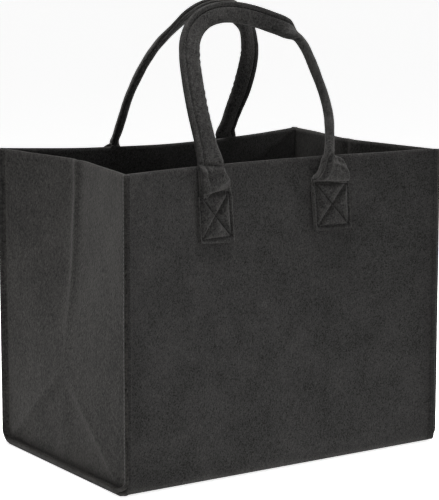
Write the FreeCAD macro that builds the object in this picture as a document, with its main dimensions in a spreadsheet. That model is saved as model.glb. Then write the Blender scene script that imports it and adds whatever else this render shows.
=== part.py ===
"""Fabric bag of thick needle-punched felt: one panel makes the front, bottom and back, a folded gusset
closes each side, and two folded-strip handles are sewn to the walls. Millimetres, +Z up, front towards -Y,
origin on the floor under the middle of the bag. The bag looks the same after half a turn about Z."""
import FreeCAD, Part
import math
import os
import Sketcher
from FreeCAD import Placement, Rotation, Vector

SIZES = {
    # the bag, measured between the inner faces of its felt walls
    "bag_width": 340.0,
    "bag_depth": 224.0,
    "bag_height": 290.0,
    "felt_thickness": 3.3,
    "bottom_fold_radius": 6.0,
    # how far the middle of the front and back walls leans in at the rim, and near the floor
    "wall_bow": 32.0,
    "wall_bow_low": 0.3,
    "wall_bow_start": 12.0,
    # the sewn corners: both layers flare outwards and end in raw edges
    "flange_reach": 6.0,
    "seam_thread_width": 0.9,
    "seam_thread_height": 0.6,
    "seam_thread_inset": 1.2,
    # the inward fold of each side gusset
    "gusset_fold_depth": 20.0,
    "gusset_fold_base": 93.0,
    # the handles, each one felt strip with flat ends and a folded, corded middle
    "handle_offset": 3.0,
    "leg_half_span": 70.0,
    "leg_start": 7.5,
    "shoulder_start": 82.0,
    "shoulder_radius": 48.0,
    "crown_radius": 74.0,
    "strap_width": 20.0,
    "strap_thickness": 9.5,
    "strap_margin": 6.0,
    "strap_lean": 22.0,
    "strap_wall_gap": 0.45,
    "core_diameter": 3.0,
    "core_clearance": 0.1,
    "core_inset": 6.0,
    "strap_thread_inset": 3.7,
    "thread_width": 0.8,
    "thread_height": 0.4,
    # the flat ends of the handles
    "tab_width": 40.0,
    "tab_length": 47.0,
    "tab_top_drop": 26.0,
    "tab_half_spacing": 65.0,
    "tab_bedding": 2.0,
    "root_taper": 8.0,
    "tab_stitch_inset": 4.0,
}
HALF_TURN = Placement(Vector(0, 0, 0), Rotation(Vector(0, 0, 1), 180))
YZ_SECTION = Rotation(Vector(1, 1, 1), 120)
ORIGIN = -1
VERTICAL_AXIS = -2
START = 1
END = 2

doc = FreeCAD.newDocument("felt_bag")
sheet = doc.addObject("Spreadsheet::Sheet", "Sheet")
for row, (alias, value) in enumerate(SIZES.items(), start=1):
    sheet.set(f"A{row}", alias)
    sheet.set(f"B{row}", str(value))
    sheet.setAlias(f"B{row}", alias)
doc.recompute()
exported = []


def size(alias):
    """The value of a driving dimension, in millimetres or degrees."""
    return float(getattr(sheet, alias))


def bind(obj, **expressions):
    """Binds properties to formulas of the sheet's cells, written with their aliases alone."""
    for prop, formula in expressions.items():
        for alias in sorted(SIZES, key=len, reverse=True):
            formula = formula.replace("<" + alias + ">", "Sheet." + alias)
        obj.setExpression(prop.replace("__", "."), formula)


def bind_constraint(sketch, index, name, formula):
    """Names a sketch dimension and binds it to a formula of the sheet."""
    sketch.renameConstraint(index, name)
    bind(sketch, **{"Constraints__" + name: formula})


def publish(obj, label, place=Placement()):
    """Gives a finished sub-part its label and place, and puts it on the list to write."""
    obj.Label = label
    obj.Placement = place.multiply(obj.Placement)
    exported.append(obj)


# --- walls ---------------------------------------------------------------------------------------------

def u_section(name, along_x, width, bottom, top, radius):
    """A closed U with rounded bottom corners, standing across X at along_x. All sizes are formulas."""
    sketch = doc.addObject("Sketcher::SketchObject", name)
    sketch.Placement = Placement(Vector(0, 0, 0), YZ_SECTION)
    half, low, high, r = 100.0, 0.0, 200.0, 8.0
    turn = math.pi
    left = sketch.addGeometry(Part.LineSegment(Vector(-half, high, 0), Vector(-half, low + r, 0)))
    floor = sketch.addGeometry(Part.LineSegment(Vector(-half + r, low, 0), Vector(half - r, low, 0)))
    right = sketch.addGeometry(Part.LineSegment(Vector(half, low + r, 0), Vector(half, high, 0)))
    rim = sketch.addGeometry(Part.LineSegment(Vector(half, high, 0), Vector(-half, high, 0)))
    circles = [Part.Circle(Vector(side * (half - r), low + r, 0), Vector(0, 0, 1), r) for side in (-1, 1)]
    left_arc = sketch.addGeometry(Part.ArcOfCircle(circles[0], turn, 1.5 * turn))
    right_arc = sketch.addGeometry(Part.ArcOfCircle(circles[1], 1.5 * turn, 2 * turn))
    for constraint in (
        Sketcher.Constraint("Tangent", left, END, left_arc, START),
        Sketcher.Constraint("Tangent", left_arc, END, floor, START),
        Sketcher.Constraint("Tangent", floor, END, right_arc, START),
        Sketcher.Constraint("Tangent", right_arc, END, right, START),
        Sketcher.Constraint("Coincident", right, END, rim, START),
        Sketcher.Constraint("Coincident", rim, END, left, START),
        Sketcher.Constraint("Horizontal", floor),
        Sketcher.Constraint("Vertical", left),
        Sketcher.Constraint("Vertical", right),
        Sketcher.Constraint("Equal", left_arc, right_arc),
        Sketcher.Constraint("Symmetric", rim, START, rim, END, VERTICAL_AXIS),
    ):
        sketch.addConstraint(constraint)
    index = sketch.addConstraint(Sketcher.Constraint("DistanceX", rim, END, rim, START, 2 * half))
    bind_constraint(sketch, index, "width", width)
    index = sketch.addConstraint(Sketcher.Constraint("DistanceY", ORIGIN, START, rim, START, high))
    bind_constraint(sketch, index, "top", top)
    index = sketch.addConstraint(Sketcher.Constraint("Radius", left_arc, r))
    bind_constraint(sketch, index, "radius", radius)
    index = sketch.addConstraint(Sketcher.Constraint("DistanceY", left, END, left, START, high - r))
    bind_constraint(sketch, index, "side_length", f"({top}) - ({bottom}) - ({radius})")
    bind(sketch, Placement__Base__x=along_x)
    return sketch


def loft(name, sections):
    """A solid with straight sides between sections."""
    solid = doc.addObject("Part::Loft", name)
    solid.Sections = sections
    solid.Solid = True
    solid.Ruled = True
    return solid


def cut(name, base, tool):
    """base with tool taken away."""
    result = doc.addObject("Part::Cut", name)
    result.Base = base
    result.Tool = tool
    return result


def fuse(name, shapes):
    """One solid of several."""
    result = doc.addObject("Part::MultiFuse", name)
    result.Shapes = shapes
    return result


FLARE = "<felt_thickness> * (sqrt(2) - 1)"
SLANTED = "<felt_thickness> * sqrt(2)"
SEAM = "<bag_width> / 2"
TIP = "<bag_width> / 2 + <flange_reach>"


def bow_section(name, up, half_chord, stand_off, bow):
    """A segment of a circle lying flat at height up: a chord along the front wall, and its arc behind."""
    sketch = doc.addObject("Sketcher::SketchObject", name)
    reach, rise, back = 150.0, 20.0, -100.0
    chord = sketch.addGeometry(Part.LineSegment(Vector(reach, back, 0), Vector(-reach, back, 0)))
    arc = sketch.addGeometry(
        Part.Arc(Vector(-reach, back, 0), Vector(0, back + rise, 0), Vector(reach, back, 0)))
    sketch.addConstraint(Sketcher.Constraint("Coincident", chord, START, arc, START))
    sketch.addConstraint(Sketcher.Constraint("Coincident", chord, END, arc, END))
    sketch.addConstraint(Sketcher.Constraint("Symmetric", chord, START, chord, END, VERTICAL_AXIS))
    index = sketch.addConstraint(Sketcher.Constraint("DistanceX", chord, END, chord, START, 2 * reach))
    bind_constraint(sketch, index, "chord", f"2 * ({half_chord})")
    index = sketch.addConstraint(Sketcher.Constraint("DistanceY", chord, START, ORIGIN, START, -back))
    bind_constraint(sketch, index, "stand_off", stand_off)
    index = sketch.addConstraint(Sketcher.Constraint("Radius", arc, (reach ** 2 + rise ** 2) / (2 * rise)))
    bind_constraint(sketch, index, "radius", f"(({half_chord}) ^ 2 + ({bow}) ^ 2) / (2 * ({bow}))")
    bind(sketch, Placement__Base__z=up)
    return sketch


def bow_wedges(name, half_chord, stand_off):
    """The space that the walls' inward bow takes up: one wedge in front, one behind."""
    wedges = []
    for wall, turn in (("front", Placement()), ("back", HALF_TURN)):
        sections = [
            bow_section(f"{name}_{wall}_low", "<wall_bow_start>", half_chord, stand_off, "<wall_bow_low>"),
            bow_section(f"{name}_{wall}_rim", "<bag_height>", half_chord, stand_off, "<wall_bow>")]
        wedge = loft(f"{name}_{wall}", sections)
        wedge.Placement = turn
        wedges.append(wedge)
    return fuse(name, wedges)


def wall_face(across, up):
    """How far the front wall's outer face stands from the middle of the bag (a negative y)."""
    half_chord = size("bag_width") / 2
    share = (up - size("wall_bow_start")) / (size("bag_height") - size("wall_bow_start"))
    bow = size("wall_bow") * share * (1 - (across / half_chord) ** 2)
    return -(size("bag_depth") / 2 + size("felt_thickness")) + bow


def slab(name, low, reach, bottom, height):
    """A wide block: from y = low over a reach along Y, and from z = bottom over a height."""
    block = doc.addObject("Part::Box", name)
    bind(block, Length="2 * <bag_width>", Width=reach, Height=height,
         Placement__Base__x="-<bag_width>", Placement__Base__y=low, Placement__Base__z=bottom)
    return block


def common(name, base, tool):
    """What base and tool share."""
    result = doc.addObject("Part::Common", name)
    result.Base = base
    result.Tool = tool
    return result


def wrap_panel():
    """Front, bottom and back: one strip of felt, folded round the bottom edges and flared at both open ends.
    It is written in three, so that the flat bottom is a solid of its own. Returns the shape that its outer
    face encloses."""
    outer, inner = [], []
    for side, sign in (("left", "-1"), ("right", "1")):
        outer_radius = "<bottom_fold_radius> + <felt_thickness>"
        outer_tip = u_section(
            f"wrap_outer_tip_{side}", f"{sign} * ({TIP})",
            f"<bag_depth> + 2 * (<flange_reach> + {SLANTED})", "0", "<bag_height>", outer_radius)
        outer_wall = u_section(
            f"wrap_outer_wall_{side}", f"{sign} * ({SEAM} - {FLARE})",
            "<bag_depth> + 2 * <felt_thickness>", "0", "<bag_height>", outer_radius)
        inner_tip = u_section(
            f"wrap_inner_tip_{side}", f"{sign} * ({TIP} + 1)",
            "<bag_depth> + 2 * (<flange_reach> + 1)", "<felt_thickness>", "<bag_height> + 1",
            "<bottom_fold_radius>")
        inner_wall = u_section(
            f"wrap_inner_wall_{side}", f"{sign} * ({SEAM})",
            "<bag_depth>", "<felt_thickness>", "<bag_height> + 1", "<bottom_fold_radius>")
        pair_outer = [outer_tip, outer_wall]
        pair_inner = [inner_tip, inner_wall]
        outer += pair_outer if side == "left" else pair_outer[::-1]
        inner += pair_inner if side == "left" else pair_inner[::-1]
    outside = cut("wrap_outside", loft("wrap_outside_plain", outer), bow_wedges(
        "wrap_outer_bow", f"{SEAM} - {FLARE}", "<bag_depth> / 2 + <felt_thickness>"))
    inside = cut("wrap_inside", loft("wrap_inside_plain", inner), bow_wedges(
        "wrap_inner_bow", SEAM, "<bag_depth> / 2"))
    strip = cut("wrap_strip", outside, inside)
    half_floor = "<bag_depth> / 2 - <bottom_fold_radius>"
    floor = slab("floor_block", f"-({half_floor})", f"2 * ({half_floor})", "-<felt_thickness>",
                 "2 * <felt_thickness>")
    publish(common("floor_part", strip, floor), "bottom_panel")
    walls = cut("wall_parts", strip, floor)
    for wall, low in (("front", "-<bag_width>"), ("back", "0")):
        half = slab(f"{wall}_block", low, "<bag_width>", "-<felt_thickness>", "2 * <bag_height>")
        publish(common(f"{wall}_part", walls, half), f"{wall}_panel")
    return outside


def fold_wedge(name, seam_x, half_width):
    """The space that the gusset's fold takes up: a triangle at the rim that runs down to one point."""
    triangle = doc.addObject("Sketcher::SketchObject", name + "_rim")
    ends = [Vector(0, -100, 0), Vector(0, 100, 0), Vector(-20, 0, 0)]
    lines = [
        triangle.addGeometry(Part.LineSegment(ends[i], ends[(i + 1) % 3])) for i in range(3)]
    for i in range(3):
        triangle.addConstraint(Sketcher.Constraint("Coincident", lines[i], END, lines[(i + 1) % 3], START))
    triangle.addConstraint(Sketcher.Constraint("Symmetric", lines[0], START, lines[0], END, ORIGIN, START))
    triangle.addConstraint(Sketcher.Constraint("PointOnObject", lines[0], START, VERTICAL_AXIS))
    triangle.addConstraint(Sketcher.Constraint("PointOnObject", lines[1], END, ORIGIN))
    index = triangle.addConstraint(Sketcher.Constraint("DistanceY", lines[0], START, lines[0], END, 200))
    bind_constraint(triangle, index, "span", f"2 * ({half_width})")
    index = triangle.addConstraint(Sketcher.Constraint("DistanceX", lines[1], END, ORIGIN, START, 20))
    bind_constraint(triangle, index, "depth", "<gusset_fold_depth>")
    bind(triangle, Placement__Base__x=seam_x, Placement__Base__z="<bag_height>")
    point = doc.addObject("Part::Vertex", name + "_point")
    bind(point, Placement__Base__x=seam_x, Placement__Base__z="<gusset_fold_base>")
    return loft(name, [triangle, point])


def side_panel(side, place):
    """A gusset with flared edges on three sides, its upper part folded inwards along the middle."""
    flared = [
        u_section(f"{side}_skin_seam", SEAM, "<bag_depth>", "<felt_thickness>", "<bag_height>",
                  "<bottom_fold_radius>"),
        u_section(f"{side}_skin_tip", TIP, "<bag_depth> + 2 * <flange_reach>", "<felt_thickness>",
                  "<bag_height>", "<bottom_fold_radius>"),
    ]
    hollow = [
        u_section(f"{side}_hollow_wall", f"{SEAM} + <felt_thickness>", f"<bag_depth> - 2 * {FLARE}",
                  "2 * <felt_thickness>", "<bag_height>", "<bottom_fold_radius>"),
        u_section(f"{side}_hollow_tip", TIP, f"<bag_depth> + 2 * (<flange_reach> - {SLANTED})",
                  "2 * <felt_thickness>", "<bag_height>", "<bottom_fold_radius>"),
    ]
    skin = fuse(f"{side}_skin", [
        loft(f"{side}_flared", flared), fold_wedge(f"{side}_skin_fold", SEAM, "<bag_depth> / 2")])
    inside = fuse(f"{side}_inside", [
        loft(f"{side}_hollow", hollow),
        fold_wedge(f"{side}_inside_fold", f"{SEAM} + <felt_thickness>", f"<bag_depth> / 2 - {FLARE}")])
    publish(cut(f"{side}_panel", skin, inside), f"{side}_side_panel", place)


def seam_thread(side, place):
    """The line of thread along a gusset's flange, down one edge, across the bottom and up the other."""
    near = f"{TIP} - <seam_thread_inset> - <seam_thread_width>"
    far = f"{TIP} - <seam_thread_inset>"
    shapes = []
    for name, proud in (("outer", "0"), ("inner", "<seam_thread_height>")):
        sections = []
        for station, along in (("near", near), ("far", far)):
            reach = f"({along} - ({SEAM}) - {SLANTED})"
            sections.append(u_section(
                f"{side}_thread_{name}_{station}", along,
                f"<bag_depth> + 2 * {reach} - 2 * sqrt(2) * ({proud})",
                f"2 * <felt_thickness> + ({proud})", "<bag_height>", "<bottom_fold_radius>"))
        shapes.append(loft(f"{side}_thread_{name}", sections))
    publish(cut(f"{side}_thread", *shapes), f"{side}_seam_thread", place)


# --- handles -------------------------------------------------------------------------------------------

def plane(body, role):
    """One of a body's own origin planes."""
    return next(f for f in body.Origin.OriginFeatures if f.Role == role)


def sketch_on(body, name, role):
    """An empty sketch on one of the body's origin planes."""
    sketch = body.newObject("Sketcher::SketchObject", name)
    sketch.AttachmentSupport = [(plane(body, role), "")]
    sketch.MapMode = "FlatFace"
    return sketch


def loop_path(body, name):
    """The middle line of a handle loop, standing in the XZ plane: leg, shoulder, crown, shoulder, leg."""
    sketch = sketch_on(body, name, "XZ_Plane")
    span, start, rise = size("leg_half_span"), size("leg_start"), size("shoulder_start")
    shoulder, crown = size("shoulder_radius"), size("crown_radius")
    offset = span - shoulder
    crown_centre = rise - ((crown - shoulder) ** 2 - offset ** 2) ** 0.5
    lean = Vector(offset, rise - crown_centre, 0).normalize()
    meet = Vector(0, crown_centre, 0) + lean * crown
    half_way = Vector(1, 0.4, 0).normalize()
    points = {
        "foot": Vector(span, start, 0),
        "shoulder": Vector(span, rise, 0),
        "shoulder_mid": Vector(offset, rise, 0) + half_way * shoulder,
        "meet": meet,
        "crown": Vector(0, crown_centre + crown, 0),
    }

    def mirrored(point):
        return Vector(-point.x, point.y, 0)

    leg_left = sketch.addGeometry(Part.LineSegment(mirrored(points["foot"]), mirrored(points["shoulder"])))
    arcs = [
        (mirrored(points["shoulder"]), mirrored(points["shoulder_mid"]), mirrored(meet)),
        (mirrored(meet), points["crown"], meet),
        (meet, points["shoulder_mid"], points["shoulder"]),
    ]
    for ends in arcs:
        sketch.addGeometry(Part.Arc(*ends))
    leg_right = sketch.addGeometry(Part.LineSegment(points["shoulder"], points["foot"]))
    for index, line in (("left_leg", leg_left), ("right_leg", leg_right)):
        number = sketch.addConstraint(Sketcher.Constraint("Vertical", line))
        sketch.renameConstraint(number, index)
    return sketch


def section_sketch(body, name):
    """A sketch across the left leg, at its foot."""
    sketch = sketch_on(body, name, "XY_Plane")
    bind(sketch, AttachmentOffset__Base__z="<leg_start>", AttachmentOffset__Base__x="-1 * <leg_half_span>")
    return sketch


def polygon(sketch, points):
    """A closed outline through points, in the sketch's own plane."""
    corners = [Vector(x, y, 0) for x, y in points]
    first = None
    for i, corner in enumerate(corners):
        line = sketch.addGeometry(Part.LineSegment(corner, corners[(i + 1) % len(corners)]))
        if first is None:
            first = line
        else:
            sketch.addConstraint(Sketcher.Constraint("Coincident", line - 1, END, line, START))
    sketch.addConstraint(Sketcher.Constraint("Coincident", first + len(corners) - 1, END, first, START))
    return first


def pipe(body, name, profile, path):
    """The profile carried along the path."""
    sweep = body.newObject("PartDesign::AdditivePipe", name)
    sweep.Profile = profile
    sweep.Spine = path
    return sweep


def handle_place(turn):
    """Where a loop stands: at the rim, just outside the wall, leaning in over the bag."""
    stand_off = size("strap_thickness") / 2 + size("strap_wall_gap")
    wall = wall_face(size("leg_half_span"), size("bag_height"))
    base = Vector(-size("handle_offset"), wall - stand_off, size("bag_height"))
    return turn.multiply(Placement(base, Rotation(Vector(1, 0, 0), -size("strap_lean"))))


def handle_strap(side, turn):
    """The strip's middle, folded lengthwise round its cord: thick at the fold, two raw edges outside."""
    body = doc.addObject("PartDesign::Body", f"{side}_strap")
    path = loop_path(body, f"{side}_strap_path")
    sketch = section_sketch(body, f"{side}_strap_section")
    half = size("strap_width") / 2
    thick = size("strap_thickness") / 2
    edge = size("felt_thickness")
    margin = -half + size("strap_margin")
    bend = half - thick
    lines = [
        ((bend, thick), (margin, edge)), ((margin, edge), (-half, edge)), ((-half, edge), (-half, -edge)),
        ((-half, -edge), (margin, -edge)), ((margin, -edge), (bend, -thick))]
    for start, end in lines:
        sketch.addGeometry(Part.LineSegment(Vector(*start, 0), Vector(*end, 0)))
    sketch.addGeometry(Part.Arc(Vector(bend, -thick, 0), Vector(half, 0, 0), Vector(bend, thick, 0)))
    for i in range(6):
        sketch.addConstraint(Sketcher.Constraint("Coincident", i, END, (i + 1) % 6, START))
    index = sketch.addConstraint(Sketcher.Constraint("DistanceY", 2, END, 2, START, 2 * edge))
    bind_constraint(sketch, index, "edge_thickness", "2 * <felt_thickness>")
    centre = Vector(half - size("core_inset"), 0, 0)
    bore = Part.Circle(centre, Vector(0, 0, 1), size("core_diameter") / 2 + size("core_clearance"))
    hole = sketch.addGeometry(bore)
    index = sketch.addConstraint(Sketcher.Constraint("Radius", hole, bore.Radius))
    bind_constraint(sketch, index, "bore", "<core_diameter> / 2 + <core_clearance>")
    pipe(body, f"{side}_strap_pipe", sketch, path)
    publish(body, f"{side}_handle_strap", handle_place(turn))


def handle_core(side, turn):
    """The soft cord inside the fold, which keeps the handle round."""
    body = doc.addObject("PartDesign::Body", f"{side}_core")
    path = loop_path(body, f"{side}_core_path")
    sketch = section_sketch(body, f"{side}_core_section")
    centre = Vector(size("strap_width") / 2 - size("core_inset"), 0, 0)
    ring = sketch.addGeometry(Part.Circle(centre, Vector(0, 0, 1), size("core_diameter") / 2))
    index = sketch.addConstraint(Sketcher.Constraint("Radius", ring, size("core_diameter") / 2))
    bind_constraint(sketch, index, "radius", "<core_diameter> / 2")
    pipe(body, f"{side}_core_pipe", sketch, path)
    publish(body, f"{side}_handle_cord_core", handle_place(turn))


def handle_thread(side, turn):
    """The line of thread that closes the fold, on both faces of the strap."""
    body = doc.addObject("PartDesign::Body", f"{side}_thread")
    inner = -size("strap_width") / 2 + size("strap_thread_inset")
    outer = inner + size("thread_width")
    for number, face in enumerate((-1, 1)):
        path = loop_path(body, f"{side}_thread_path_{number}")
        sketch = section_sketch(body, f"{side}_thread_section_{number}")
        low = face * size("felt_thickness")
        high = low + face * size("thread_height")
        polygon(sketch, [(inner, low), (outer, low), (outer, high), (inner, high)])
        pipe(body, f"{side}_thread_pipe_{number}", sketch, path)
    publish(body, f"{side}_handle_seam_thread", handle_place(turn))


def tab_place(leg, turn):
    """Where a flat end lies: on the bowed wall's outer face, turned and tilted as the wall is there."""
    across = leg * size("tab_half_spacing")
    up = size("bag_height") - size("tab_top_drop") - size("tab_length") / 2
    half_width, half_length = size("tab_width") / 2, size("tab_length") / 2
    left, right = wall_face(across - half_width, up), wall_face(across + half_width, up)
    low, high = wall_face(across, up - half_length), wall_face(across, up + half_length)
    turned = math.degrees(math.atan((right - left) / size("tab_width")))
    tilted = math.degrees(math.atan((high - low) / size("tab_length")))
    facing = Rotation(Vector(0, 0, 1), turned).multiply(Rotation(Vector(1, 0, 0), -tilted))
    return turn.multiply(Placement(Vector(across, (left + right) / 2, up), facing))


def handle_tab(corner, leg, turn, bag_outside):
    """A flat end of the strip, and above it the root where the strip gathers into the folded strap. Its back
    is cut to the wall that it lies on."""
    body = doc.addObject("PartDesign::Body", f"{corner}_tab")
    face = sketch_on(body, f"{corner}_tab_outline", "XZ_Plane")
    half_width, half_length = size("tab_width") / 2, size("tab_length") / 2
    first = polygon(face, [
        (-half_width, -half_length), (half_width, -half_length), (half_width, half_length),
        (-half_width, half_length)])
    face.addConstraint(Sketcher.Constraint("Horizontal", first))
    face.addConstraint(Sketcher.Constraint("Vertical", first + 1))
    face.addConstraint(Sketcher.Constraint("Horizontal", first + 2))
    face.addConstraint(Sketcher.Constraint("Symmetric", first, START, first + 1, END, ORIGIN, START))
    index = face.addConstraint(Sketcher.Constraint("DistanceX", first, START, first, END, 2 * half_width))
    bind_constraint(face, index, "width", "<tab_width>")
    index = face.addConstraint(Sketcher.Constraint("DistanceY", first + 1, START, first + 1, END,
                                                   2 * half_length))
    bind_constraint(face, index, "length", "<tab_length>")
    bind(face, AttachmentOffset__Base__z="-1 * <tab_bedding>")
    pad = body.newObject("PartDesign::Pad", f"{corner}_tab_pad")
    pad.Profile = face
    bind(pad, Length="<felt_thickness> + <tab_bedding>")
    side = sketch_on(body, f"{corner}_root_outline", "YZ_Plane")
    top = half_length + size("tab_top_drop")
    depth, bedding = size("strap_thickness"), size("tab_bedding")
    polygon(side, [
        (bedding, half_length), (-size("felt_thickness"), half_length),
        (-depth, half_length + size("root_taper")), (-depth, top), (bedding, top)])
    across_to_leg = "<leg_half_span> - <tab_half_spacing>"
    bind(side, AttachmentOffset__Base__z=f"{leg} * ({across_to_leg}) - <handle_offset>")
    root = body.newObject("PartDesign::Pad", f"{corner}_root_pad")
    root.Profile = side
    root.Midplane = True
    bind(root, Length="<strap_width>")
    body.Placement = tab_place(leg, turn)
    publish(cut(f"{corner}_tab_bedded", body, bag_outside), f"{corner}_handle_tab")


def tab_stitching(corner, leg, turn):
    """The box with a cross in it that sews a flat end to the wall."""
    width = "(<tab_width> - 2 * <tab_stitch_inset>)"
    length = "(<tab_length> - 2 * <tab_stitch_inset>)"
    diagonal = f"sqrt({width} * {width} + {length} * {length})"
    steepness = f"atan({length} / {width})"
    runs = (
        ("top", width, f"{length} / 2", "0", "0"), ("bottom", width, f"-1 * {length} / 2", "0", "0"),
        ("left", length, "0", f"-1 * {width} / 2", "90"),
        ("right", length, "0", f"{width} / 2", "90"),
        ("rising", diagonal, "0", "0", steepness), ("falling", diagonal, "0", "0", f"-1 * {steepness}"))
    bars = []
    for name, long, up, across, angle in runs:
        bar = doc.addObject("Part::Box", f"{corner}_stitch_{name}")
        bar.Placement = Placement(Vector(0, 0, 0), Rotation(Vector(0, -1, 0), 10))
        bind(bar, Length=f"{long} + <thread_width>", Width="<thread_height>", Height="<thread_width>",
             Placement__Rotation__Angle=angle)
        bind(bar,
             Placement__Base__x=f"{across} - ({long} + <thread_width>) / 2 * cos({angle})"
                                f" + <thread_width> / 2 * sin({angle})",
             Placement__Base__y="-1 * <thread_height>",
             Placement__Base__z=f"{up} - ({long} + <thread_width>) / 2 * sin({angle})"
                                f" - <thread_width> / 2 * cos({angle})")
        bars.append(bar)
    outside = Placement(Vector(0, -size("felt_thickness"), 0), Rotation())
    publish(fuse(f"{corner}_stitch", bars), f"{corner}_tab_stitching",
            tab_place(leg, turn).multiply(outside))


def check_and_write():
    """Stops if any object failed, then writes one STEP file for each sub-part."""
    doc.recompute()
    failed = [o.Name for o in doc.Objects if {"Invalid", "Error"} & set(o.State)]
    if failed:
        raise RuntimeError(f"failed objects: {failed}")
    os.makedirs("parts", exist_ok=True)
    for obj in exported:
        shape = obj.Shape
        if shape.isNull() or not shape.isValid():
            raise RuntimeError(f"{obj.Label} has no valid shape")
        box = shape.BoundBox
        print(f"{obj.Label:28s} solids {len(shape.Solids)} volume {shape.Volume:10.1f}"
              f"  x {box.XMin:7.1f} {box.XMax:7.1f}  y {box.YMin:7.1f} {box.YMax:7.1f}"
              f"  z {box.ZMin:6.1f} {box.ZMax:6.1f}")
        shape.exportStep(os.path.join("parts", obj.Label + ".step"))


bag_outside = wrap_panel()
for side, place in (("right", Placement()), ("left", HALF_TURN)):
    side_panel(side, place)
    seam_thread(side, place)
for side, turn in (("front", Placement()), ("back", HALF_TURN)):
    handle_strap(side, turn)
    handle_core(side, turn)
    handle_thread(side, turn)
    for leg in (-1, 1):
        on_right = (leg > 0) == (side == "front")
        corner = f"{side}_{'right' if on_right else 'left'}"
        handle_tab(corner, leg, turn, bag_outside)
        tab_stitching(corner, leg, turn)
check_and_write()
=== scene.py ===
"""Looks of the felt bag: thick felt walls with sewn, raw-edged corners, folded and stitched handles.
Everything is built in millimetres and scaled to metres. Both handles are shaped at the front; the back one is
then turned by half a turn about Z."""
import math

import bmesh
import bpy
import numpy as np
from mathutils import Matrix, Vector


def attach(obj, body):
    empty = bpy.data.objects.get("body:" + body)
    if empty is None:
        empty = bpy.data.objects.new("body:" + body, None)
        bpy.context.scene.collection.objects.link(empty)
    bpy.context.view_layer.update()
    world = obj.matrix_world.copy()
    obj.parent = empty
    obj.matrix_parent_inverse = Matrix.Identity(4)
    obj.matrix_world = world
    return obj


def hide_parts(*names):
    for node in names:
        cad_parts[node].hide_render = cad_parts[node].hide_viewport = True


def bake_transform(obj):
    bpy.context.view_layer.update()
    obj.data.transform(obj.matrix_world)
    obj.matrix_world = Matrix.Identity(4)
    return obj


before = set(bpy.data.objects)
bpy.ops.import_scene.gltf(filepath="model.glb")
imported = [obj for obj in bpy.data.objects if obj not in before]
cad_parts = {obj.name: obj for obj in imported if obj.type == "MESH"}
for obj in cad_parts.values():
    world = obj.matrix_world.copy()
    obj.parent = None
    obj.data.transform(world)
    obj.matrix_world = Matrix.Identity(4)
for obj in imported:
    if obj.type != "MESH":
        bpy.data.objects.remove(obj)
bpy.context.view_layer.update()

# --- the bag's sizes, in millimetres -------------------------------------------------------------------
THICK = 3.3            # felt
HALF = THICK / 2
SEAM_X = 170.0         # inner corner, across
SEAM_Y = 112.0         # inner corner, front to back
RIM = 290.0
BOW = 32.0             # how far the front and back walls lean in at the middle of the rim
BOW_START = 12.0
SAG = 3.0              # how far the rim dips at the middle of the front and back walls
FLOOR_BEND = 8.6       # middle radius of the wrap's fold at the floor
LAYER_GAP = 0.25       # between the wrap's and the gusset's flanges
FLANGE_BEND = 2.5      # radius of the wrap's bend into its flange
GUSSET_BEND = 2.4      # and of the gusset's
# how far in each gusset is folded at its middle, by height
FOLD_HEIGHTS = [0, 40, 75, 93, 120, 150, 190, 228, 260, 290]
FOLD_DEPTHS = [0, 0, 0.4, 1.6, 4.4, 8.2, 13.8, 17.6, 19.4, 20.0]
MEET = 93.0            # where the gusset's creases meet
HANDLE_Y = -93.4       # the strap's middle at the rim
STRAP_WIDE = 19.8
TAB_WIDE, TAB_LOW = 40.0, 217.3
STITCH_PITCH = 3.9
# seeds of the random unevenness
FRONT_WAVES, BACK_WAVES, LEFT_WAVES, RIGHT_WAVES = 11, 29, 41, 53
WRAP_RIM, GUSSET_RIM, STRAP_LUMPS, STRAP_FUZZ, ROOT_CREASES = 5, 8, 71, 72, 81


# --- helpers -------------------------------------------------------------------------------------------

def smooth_step(value, low, high):
    """0 up to low, 1 from high on, and an even S between."""
    t = np.clip((np.asarray(value, float) - low) / (high - low), 0, 1)
    return t * t * (3 - 2 * t)


def bell(value, middle, width):
    """A smooth bump of height 1 at middle."""
    return np.exp(-((np.asarray(value, float) - middle) / width) ** 2)


def unit(vectors):
    return vectors / np.maximum(np.linalg.norm(vectors, axis=-1, keepdims=True), 1e-9)


def wander(u, v, size, seed):
    """Smooth random values from -1 to 1 over two coordinates, with features about size across."""
    cells = 64
    grid = np.random.default_rng(seed).uniform(-1, 1, (cells, cells))
    x, y = np.asarray(u, float) / size + 7.3, np.asarray(v, float) / size + 3.1
    i, j = np.floor(x).astype(int), np.floor(y).astype(int)
    fx, fy = x - i, y - j
    fx, fy = fx * fx * (3 - 2 * fx), fy * fy * (3 - 2 * fy)

    def at(a, b):
        return grid[a % cells, b % cells]

    return ((at(i, j) * (1 - fx) + at(i + 1, j) * fx) * (1 - fy)
            + (at(i, j + 1) * (1 - fx) + at(i + 1, j + 1) * fx) * fy)


def surface_normals(points):
    """Unit normals of a grid of points, from its own differences."""
    du = np.gradient(points, axis=0)
    dv = np.gradient(points, axis=1)
    return unit(np.cross(du, dv))


def new_object(name, points, faces, material):
    """A smooth-shaded mesh in the scene, from points in millimetres."""
    mesh = bpy.data.meshes.new(name)
    points = np.asarray(points, float) * 0.001
    mesh.vertices.add(len(points))
    mesh.vertices.foreach_set("co", points.astype(np.float32).ravel())
    sizes = np.array([len(f) for f in faces])
    loops = np.concatenate([np.asarray(f) for f in faces]).astype(np.int32)
    mesh.loops.add(len(loops))
    mesh.loops.foreach_set("vertex_index", loops)
    mesh.polygons.add(len(faces))
    starts = np.concatenate([[0], np.cumsum(sizes)[:-1]]).astype(np.int32)
    mesh.polygons.foreach_set("loop_start", starts)
    mesh.polygons.foreach_set("use_smooth", np.full(len(faces), True))
    mesh.update(calc_edges=True)
    mesh.validate()
    made = bpy.data.objects.new(name, mesh)
    bpy.context.scene.collection.objects.link(made)
    mesh.materials.append(material)
    return made


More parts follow.
